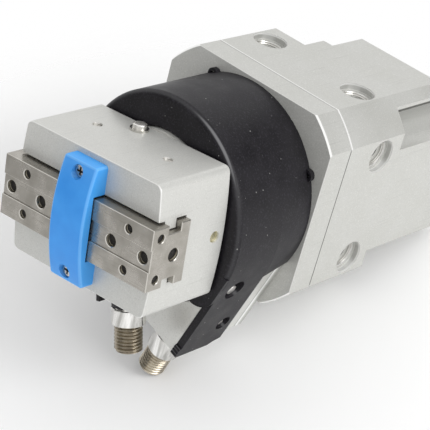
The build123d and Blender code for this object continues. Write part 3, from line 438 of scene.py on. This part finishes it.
# Brass, threaded and nickel plated: warm grey silver. The head's plug has a darker copy, as painted shade
nickel_thread = bright_metal("nickel_plated_thread", "#b3aa9a", "#c9c1b1", 3.0, (0.24, 0.32))
shaded_nickel_thread = bright_metal("nickel_thread_painted_shade", "#8f8677", "#a59c8b", 3.0, (0.26, 0.34))

# Brass, turned smooth and nickel plated: silver, with light and dark bands along it as painted reflections
nickel_collar = bright_metal("nickel_plated_collar", "#b4b3af", "#f8f7f4", 1.6, (0.12, 0.20), (1, 1, 14))

# Steel, zinc plated: small screws, pale and slightly uneven
zinc_steel = bright_metal("zinc_plated_steel", "#c4c2bc", "#d4d2cd", 1.5, (0.20, 0.28))

# Steel, zinc plated and dull: the earth screw and the metal in the tail's holes, pale beside the black
dull_zinc = bright_metal("dull_zinc_plate", "#e2e0dc", "#f2f0ec", 1.0, (0.34, 0.44))

# Brass, gold plated: the contacts, warm yellow
gold_contact = bright_metal("gold_plated_brass", "#c79a4a", "#d9ae5e", 1.5, (0.22, 0.30))

# Brass, turned: pale yellow plugs in the sides of the head
pale_brass = bright_metal("turned_brass", "#d3cba6", "#e0d9b8", 1.5, (0.24, 0.32))

# Bearing steel, polished: even mid grey with sharp reflections
bearing_steel = bright_metal("polished_bearing_steel", "#a6a6a6", "#b4b4b4", 6.0, (0.16, 0.24))

# Aluminium, cut thread in a bore: brighter than the blasted face around it
cut_thread = bright_metal("cut_thread", "#cfcdc8", "#e4e2de", 2.0, (0.30, 0.38))

# Tool steel, cut thread in a small bore: as the jaws but darker, as painted shade in the hole
shaded_jaw_thread = bright_metal("jaw_thread_painted_shade", "#79736a", "#98927f", 1.0, (0.30, 0.42))

# Painted shade: nearly black and dull, put in recesses and deep in threads where there is only shade
painted_shade_black, tree, shader, place = new_material("painted_shade_in_recesses", Roughness=0.85)
shade_mottle = add(tree, "ShaderNodeTexNoise", {"Scale": per_mm(0.4), "Detail": 2.0}, {"Vector": place})
tree.links.new(output(mottled(tree, shade_mottle, "#141312", "#2a2724")), shader.inputs["Base Color"])

# Steel can, painted dark grey: even, with a slight orange peel
painted_can, tree, shader, place = new_material("painted_steel_can")
clouds = add(tree, "ShaderNodeTexNoise", {"Scale": per_mm(8.0), "Detail": 3.0}, {"Vector": place})
orange_peel = add(tree, "ShaderNodeTexNoise", {"Scale": per_mm(0.9), "Detail": 2.0}, {"Vector": place})
base = mottled(tree, clouds, "#3a3a3c", "#424245")
end_finish(tree, shader, base, clouds, (0.42, 0.52), orange_peel, 0.012)

slot_finish = {
    "blasted_aluminium": housing_aluminium,
    "ground_steel": ground_steel,
    "black_plastic": black_polyamide,
    "blue_plastic": blue_polyamide,
    "zinc_screw": zinc_steel,
    "nickel_thread": nickel_thread,
    "gold_contact": gold_contact,
    "bearing_steel": bearing_steel,
    "drive_unit": painted_can,
}
own_finish = {
    "side_plugs": pale_brass,
    "head_body": head_aluminium_painted_paler,
    "tail_bracket": milled_aluminium,
    "earth_screw": dull_zinc,
}
for part in frame["record"]["subparts"]:
    mesh = nodes[part["node"]].data
    mesh.materials.clear()
    mesh.materials.append(own_finish.get(part["node"], slot_finish[part["material_slot"]]))


# Pieces that the solids leave to this script: fine threads, and what is seen in holes and recesses

def new_piece(name, shape, body, slot, *finishes):
    """Mesh object of a finished bmesh, which rides on a body. The slot argument is not used."""
    bmesh.ops.recalc_face_normals(shape, faces=shape.faces)
    mesh = bpy.data.meshes.new(name)
    shape.to_mesh(mesh)
    shape.free()
    for finish in finishes:
        mesh.materials.append(finish)
    piece = bpy.data.objects.new(name, mesh)
    bpy.context.scene.collection.objects.link(piece)
    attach(piece, body)
    return piece


def round_axes(out):
    """Two directions across an axis."""
    side = out.orthogonal().normalized()
    return side, out.cross(side)


def ring(shape, middle, axes, radii):
    """Ring of points round a middle, in millimetres. The radii are spread evenly over the turn."""
    side, up = axes
    points = []
    for step, radius in enumerate(radii):
        angle = 2 * math.pi * step / len(radii)
        out = side * math.cos(angle) + up * math.sin(angle)
        points.append(shape.verts.new((middle + out * radius) * MM))
    return points


def join_rings(shape, rings, finish=0):
    """Smooth faces between neighbouring rings of as many points."""
    for first, second in zip(rings, rings[1:]):
        for step in range(len(first)):
            face = shape.faces.new((first[step - 1], first[step], second[step], second[step - 1]))
            face.material_index = finish
            face.smooth = True


# Both connectors, in millimetres
CONNECTOR_STEPS = 72
CONNECTOR_PITCH = 1.0
CONNECTOR_RUN_OUT = 0.45
CONNECTOR_RINGS_PER_PITCH = 14
COLLAR_RADIUS = 4.8
COLLAR_CHAMFER = 0.2
SPIGOT_RADIUS = 3.5
SPIGOT_LENGTH = 3.9
NECK_RADIUS = 4.0
NECK_LENGTH = 0.5
THREAD_GAP = 0.3
CREST_RADIUS = 4.0
ROOT_RADIUS = 3.42
INSIDE_RADIUS = 3.25
INSIDE_DEPTH = 4.4


def thread_radius(along, turn, start, end):
    """Radius of a connector's thread at a place along it and a share of the turn, run out at both ends."""
    phase = (along / CONNECTOR_PITCH - turn) % 1
    flank = max(0.0, min(1.0, (0.5 - abs(phase - 0.5)) * 3.0 - 0.30))
    fade = max(0.0, min(1.0, (along - start) / CONNECTOR_RUN_OUT, (end - along) / CONNECTOR_RUN_OUT))
    return ROOT_RADIUS + (CREST_RADIUS - ROOT_RADIUS) * flank * fade


def turn_outline(shape, seat, out, outline, finish=0):
    """Turned surface with sharp corners. A point of its outline is a radius and a distance from the seat."""
    axes = round_axes(out)
    for ends in zip(outline, outline[1:]):
        rings = []
        for radius, along in ends:
            rings.append(ring(shape, seat + out * along, axes, [radius] * CONNECTOR_STEPS))
        join_rings(shape, rings, finish)


def connector_body(name, node, seat, out, collar_length, thread_length, body, thread_finish):
    """Turned body of a round plug connector: from its seat outwards spigot, neck, collar, thread and rim."""
    axes = round_axes(out)
    start = collar_length + THREAD_GAP
    end = collar_length + thread_length
    shape = bmesh.new()
    turn_outline(shape, seat, out, (
        (SPIGOT_RADIUS, -SPIGOT_LENGTH),
        (SPIGOT_RADIUS, 0),
        (NECK_RADIUS, 0),
        (NECK_RADIUS, NECK_LENGTH),
        (COLLAR_RADIUS - COLLAR_CHAMFER, NECK_LENGTH),
        (COLLAR_RADIUS, NECK_LENGTH + COLLAR_CHAMFER),
        (COLLAR_RADIUS, collar_length - COLLAR_CHAMFER),
        (COLLAR_RADIUS - COLLAR_CHAMFER, collar_length),
        (ROOT_RADIUS, collar_length),
        (ROOT_RADIUS, start),
    ))
    rings = []
    steps = round((end - start) / CONNECTOR_PITCH * CONNECTOR_RINGS_PER_PITCH)
    for count in range(steps + 1):
        along = start + (end - start) * count / steps
        turns = [step / CONNECTOR_STEPS for step in range(CONNECTOR_STEPS)]
        radii = [thread_radius(along, turn, start, end) for turn in turns]
        rings.append(ring(shape, seat + out * along, axes, radii))
    join_rings(shape, rings, finish=1)
    rim = ((ROOT_RADIUS, end), (INSIDE_RADIUS, end), (INSIDE_RADIUS, end - INSIDE_DEPTH))
    turn_outline(shape, seat, out, rim, finish=1)
    piece = new_piece(name, shape, body, "nickel_thread", nickel_collar, thread_finish)
    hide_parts(node)


BORE_STEPS = 40


def bore_thread(shape, mouth, inward, radius, start, length, pitch, height, finish=0):
    """Ridge of a screw thread along a bore's wall, from start to start + length below its mouth."""
    side, up = round_axes(inward)
    turns = length / pitch
    steps = round(turns * BORE_STEPS)
    last = None
    for count in range(steps + 1):
        angle = 2 * math.pi * turns * count / steps
        radial = side * math.cos(angle) + up * math.sin(angle)
        middle = start + length * count / steps
        fade = min(1.0, 8 * count / steps, 8 * (steps - count) / steps)
        points = []
        for shift, reach in ((-0.42, -0.02), (0.0, height * fade), (0.42, -0.02)):
            along = middle + shift * pitch
            points.append(shape.verts.new((mouth + inward * along + radial * (radius - reach)) * MM))
        if last:
            for place in (0, 1):
                face = shape.faces.new((last[place], last[place + 1], points[place + 1], points[place]))
                face.material_index = finish
        last = points


def round_patch(shape, middle, out, radius, finish=0, thickness=0.5):
    """Round plate whose top faces outwards, as the floor of what is seen in a hole."""
    outline = ((radius, -thickness), (radius, -0.05), (radius - 0.05, 0.0))
    axes = round_axes(out)
    rings = [ring(shape, middle + out * rise, axes, [reach] * BORE_STEPS) for reach, rise in outline]
    join_rings(shape, rings, finish)
    shape.faces.new(rings[-1]).material_index = finish


def bar(shape, middle, across, along, out, width, length, depth):
    """Thin bar that lies in a recess."""
    corners = []
    for shift in (0, depth):
        for x, y in ((-1, -1), (1, -1), (1, 1), (-1, 1)):
            spot = middle + across * (x * width / 2) + along * (y * length / 2) + out * shift
            corners.append(shape.verts.new(spot * MM))
    faces = ((0, 1, 2, 3), (7, 6, 5, 4), (0, 4, 5, 1), (1, 5, 6, 2), (2, 6, 7, 3), (3, 7, 4, 0))
    for face in faces:
        shape.faces.new([corners[place] for place in face])


# Connectors: their seats lie on the bracket's foot and on the neck under the head
TAIL_SEAT_OUT = 24.6
TAIL_SEAT_DOWN = 33.3
TAIL_SEAT_Y = -97.2
HEAD_SEAT_DOWN = 28.7
HEAD_SEAT_Y = -114.0
tail_seat = tail_out * TAIL_SEAT_OUT + tail_down * TAIL_SEAT_DOWN + Vector((0, TAIL_SEAT_Y, 0))
head_seat = head_connector_down * HEAD_SEAT_DOWN + Vector((0, HEAD_SEAT_Y, 0))
connector_body(
    "tail_connector_body", "tail_connector_shell", tail_seat, tail_down,
    collar_length=7.0, thread_length=8.2, body="housing", thread_finish=nickel_thread,
)
connector_body(
    "head_connector_body", "head_connector_shell", head_seat, head_connector_down,
    collar_length=5.4, thread_length=8.0, body="head", thread_finish=shaded_nickel_thread,
)

# Threads in the mounting holes: a fine one in the step and a coarse one in the core, whose first turn is
# cut metal and whose deeper turns are painted black as painted shade
shape = bmesh.new()
for out, across in ((Vector((0, 0, 1)), Vector((1, 0, 0))), (Vector((1, 0, 0)), Vector((0, 0, 1)))):
    for side in (-1, 1):
        mouth = out * HALF_BLOCK + across * (side * MOUNT_HALF_SPACING) + Vector((0, MOUNT_Y, 0))
        step = (shape, mouth, -out, MOUNT_STEP_RADIUS)
        core = (shape, mouth, -out, MOUNT_CORE_RADIUS)
        bore_thread(*step, start=2.3, length=1.2, pitch=0.6, height=0.14)
        bore_thread(*core, start=4.3, length=0.9, pitch=0.9, height=0.30)
        bore_thread(*core, start=5.2, length=4.3, pitch=0.9, height=0.30, finish=1)
new_piece("block_hole_threads", shape, "housing", "blasted_aluminium", cut_thread, painted_shade_black)

# Threads in the head's two top holes, over a bright floor
HEAD_TOP = 19.1
HEAD_HOLE_X = 13.2
HEAD_HOLE_Y = HEAD_FRONT + 14.65
HEAD_HOLE_RADIUS = 1.5
shape = bmesh.new()
for x in (-HEAD_HOLE_X, HEAD_HOLE_X):
    mouth = head_point(x, HEAD_HOLE_Y, HEAD_TOP)
    bore_thread(shape, mouth, -head_z, HEAD_HOLE_RADIUS, start=0.2, length=3.2, pitch=0.5, height=0.16)
    round_patch(shape, mouth - head_z * 0.6, head_z, HEAD_HOLE_RADIUS - 0.1)
new_piece("head_hole_threads", shape, "head", "blasted_aluminium", cut_thread)

# Threads in the jaws' holes, over a floor painted black as painted shade: a pair and a row in the front, a
# pair and a larger hole in the end
JAW_END = 27.8
JAW_BAND_DEPTH = 0.4
PAIR_HALF_SPACING = 5.85
PAIR_X = 19.1
ROW_X = (13.3, 24.8)
END_PAIR_Y = JAW_FRONT + 3.25
END_HOLE_Y = JAW_FRONT + 8.9
PAIR_THREAD = {"radius": 1.25, "start": 0.2, "pitch": 0.5, "height": 0.14}
ROW_THREAD = {"radius": 1.75, "start": 0.3, "pitch": 0.7, "height": 0.18}
END_THREAD = {"radius": 1.85, "start": 0.3, "pitch": 0.7, "height": 0.18}


def jaw_hole(shape, mouth, inward, thread, length, floor_depth):
    """Thread in a jaw's hole, and a floor painted black below its mouth as painted shade."""
    bore_thread(shape, mouth, inward, length=length, **thread)
    round_patch(shape, mouth + inward * floor_depth, -inward, thread["radius"] - 0.05, finish=1)


for side, body in ((1, "right_jaw"), (-1, "left_jaw")):
    shape = bmesh.new()
    end_inward = head_x * -side
    for z in (-PAIR_HALF_SPACING, PAIR_HALF_SPACING):
        front_mouth = head_point(side * PAIR_X, JAW_FRONT, z)
        end_mouth = head_point(side * JAW_END, END_PAIR_Y, z)
        jaw_hole(shape, front_mouth, -FORWARD, PAIR_THREAD, length=4.2, floor_depth=0.9)
        jaw_hole(shape, end_mouth, end_inward, PAIR_THREAD, length=4.9, floor_depth=0.7)
    for x in ROW_X:
        mouth = head_point(side * x, JAW_FRONT + JAW_BAND_DEPTH, 0)
        jaw_hole(shape, mouth, -FORWARD, ROW_THREAD, length=4.3, floor_depth=1.2)
    mouth = head_point(side * JAW_END, END_HOLE_Y, 0)
    jaw_hole(shape, mouth, end_inward, END_THREAD, length=4.9, floor_depth=1.0)
    new_piece(body + "_hole_threads", shape, body, "ground_steel", shaded_jaw_thread, painted_shade_black)

# Bright metal that glints in the two holes of the tail, and stands on the bracket: for each its radius, and
# how far down the tail and behind the tail's front it is
BRACKET_OUT = 29.7
TAIL_METAL_OUT = 31.0
TAIL_METAL = ((1.6, 8.0, 7.4), (0.9, 24.6, 14.0))
shape = bmesh.new()
for radius, along, setback in TAIL_METAL:
    middle = tail_out * TAIL_METAL_OUT + tail_down * along + Vector((0, TAIL_FRONT + setback, 0))
    round_patch(shape, middle, tail_out, radius, thickness=TAIL_METAL_OUT - BRACKET_OUT)
new_piece("tail_hole_metal", shape, "housing", "zinc_screw", dull_zinc)

# Painted shade in the screws' recesses: a black cross in the two bridge screws and a black bar in the earth
# screw's slot
CROSS_FLOOR_Y = -134.15
BRIDGE_SCREW_Z = 14.4
EARTH_SCREW_X = -5.1
EARTH_SCREW_Y = HEAD_FRONT + 22.6
EARTH_SLOT_Z = 20.4
shape = bmesh.new()
for z in (-BRIDGE_SCREW_Z, BRIDGE_SCREW_Z):
    middle = head_point(0, CROSS_FLOOR_Y, z)
    for across, along, depth in ((head_x, head_z, 0.04), (head_z, head_x, 0.05)):
        bar(shape, middle, across, along, FORWARD, width=0.58, length=2.38, depth=depth)
slot_along = (head_x - FORWARD).normalized()
slot_across = (head_x + FORWARD).normalized()
earth_slot = head_point(EARTH_SCREW_X, EARTH_SCREW_Y, EARTH_SLOT_Z)
bar(shape, earth_slot, slot_across, slot_along, head_z, width=0.45, length=3.6, depth=0.04)
new_piece("recess_painted_shade", shape, "head", "zinc_screw", painted_shade_black)

# Floor: the unit lies nose up on its tail connector and the bottom of its body
FLOOR_TILT = math.radians(19.7)
FLOOR_CLEAR_RADIUS = 105 * MM
FLOOR_EDGE_RADIUS = 170 * MM
floor_up = Vector((0, -math.sin(FLOOR_TILT), math.cos(FLOOR_TILT)))
floor_height = min(floor_up.dot(vertex.co) for node in nodes.values() for vertex in node.data.vertices)
floor_middle = Vector((20, -95, 0)) * MM
floor_middle += floor_up * (floor_height - floor_up.dot(floor_middle))

floor_mesh = bpy.data.meshes.new("floor")
shape = bmesh.new()
bmesh.ops.create_circle(shape, cap_ends=True, segments=96, radius=FLOOR_EDGE_RADIUS)
shape.to_mesh(floor_mesh)
shape.free()
floor = bpy.data.objects.new("floor", floor_mesh)
bpy.context.scene.collection.objects.link(floor)
floor_turn = floor_up.to_track_quat("Z", "Y").to_matrix().to_4x4()
floor.matrix_world = Matrix.Translation(floor_middle) @ floor_turn

# The floor is white paper that fades into the white background at its edge
floor_material, tree, shader, place = new_material("white_paper_floor", Roughness=0.9)
shader.inputs["Base Color"].default_value = colour("#fbfbfb")
distance = add(tree, "ShaderNodeVectorMath", {"operation": "LENGTH"}, {"Vector": place})
paper = region(tree, (distance, FLOOR_EDGE_RADIUS, FLOOR_CLEAR_RADIUS))
tree.links.new(output(paper), shader.inputs["Alpha"])
floor_mesh.materials.append(floor_material)

# Light: an even white surround, which is weaker as a light than as what is seen or mirrored, and a large
# soft lamp from the right and above
SURROUND_LIGHT = 0.87
world = bpy.data.worlds.new("studio")
bpy.context.scene.world = world
world.use_nodes = True
tree = world.node_tree
rays = add(tree, "ShaderNodeLightPath", {}).outputs
seen = rays["Is Camera Ray"]
for kind in ("Is Glossy Ray", "Is Transmission Ray"):
    seen = add(tree, "ShaderNodeMath", {"operation": "MAXIMUM"}, {0: seen, 1: rays[kind]})
strength = add(tree, "ShaderNodeMapRange", {"To Min": SURROUND_LIGHT, "To Max": 1.0}, {"Value": seen})
background = tree.nodes["Background"]
background.inputs["Color"].default_value = (1, 1, 1, 1)
tree.links.new(output(strength), background.inputs["Strength"])

object_middle = Vector((5, -80, 0)) * MM


def soft_lamp(name, direction, distance, size, power):
    """Square soft lamp that faces the object from a direction."""
    lamp_data = bpy.data.lights.new(name, "AREA")
    lamp_data.size = size
    lamp_data.energy = power
    lamp = bpy.data.objects.new(name, lamp_data)
    bpy.context.scene.collection.objects.link(lamp)
    lamp.location = object_middle + direction.normalized() * distance
    lamp.rotation_mode = "QUATERNION"
    lamp.rotation_quaternion = direction.to_track_quat("Z", "Y")


def grey_card(name, material, direction, distance, size):
    """Grey card that shiny surfaces reflect on one side of the object. The camera doesn't see it."""
    mesh = bpy.data.meshes.new(name)
    shape = bmesh.new()
    bmesh.ops.create_grid(shape, x_segments=2, y_segments=2, size=size / 2)
    shape.to_mesh(mesh)
    shape.free()
    mesh.materials.append(material)
    card = bpy.data.objects.new(name, mesh)
    bpy.context.scene.collection.objects.link(card)
    turn = direction.to_track_quat("Z", "Y").to_matrix().to_4x4()
    card.matrix_world = Matrix.Translation(object_middle + direction.normalized() * distance) @ turn
    card.visible_camera = card.visible_diffuse = card.visible_shadow = False


# Felt, grey: no shine
grey_felt, tree, shader, place = new_material("grey_felt_card", Roughness=1.0, Specular_IOR_Level=0.0)
fibres = add(tree, "ShaderNodeTexNoise", {"Scale": per_mm(3.0), "Detail": 2.0}, {"Vector": place})
tree.links.new(output(mottled(tree, fibres, "#6e6e6e", "#767676", 0.3, 0.7)), shader.inputs["Base Color"])

soft_lamp("key_lamp", Vector((0.80, 0.10, 0.55)), distance=0.8, size=0.4, power=2.6)
grey_card("rear_card", grey_felt, Vector((0.47, 0.72, 0.51)), distance=0.6, size=0.6)
grey_card("front_card", grey_felt, Vector((-0.50, -0.80, 0.0)), distance=0.55, size=0.5)

# Camera: at the photograph's place and roll, in the unit's frame
CAMERA_PLACE = Vector((255.93, -434.45, 220.71)) * MM
CAMERA_TARGET = Vector((23.5, -107.1, 8.3)) * MM
CAMERA_ROLL = math.radians(15.54)
CAMERA_LENS = 143.95
camera_data = bpy.data.cameras.new("camera")
camera_data.sensor_width = 36.0
camera_data.lens = CAMERA_LENS
camera_data.clip_start = 0.01
camera_data.clip_end = 10
camera = bpy.data.objects.new("camera", camera_data)
bpy.context.scene.collection.objects.link(camera)
camera.location = CAMERA_PLACE
camera.rotation_mode = "QUATERNION"
aim = (CAMERA_TARGET - CAMERA_PLACE).to_track_quat("-Z", "Y")
camera.rotation_quaternion = aim @ Quaternion((0, 0, 1), CAMERA_ROLL)
bpy.context.scene.camera = camera
bpy.context.scene.view_settings.view_transform = "Standard"
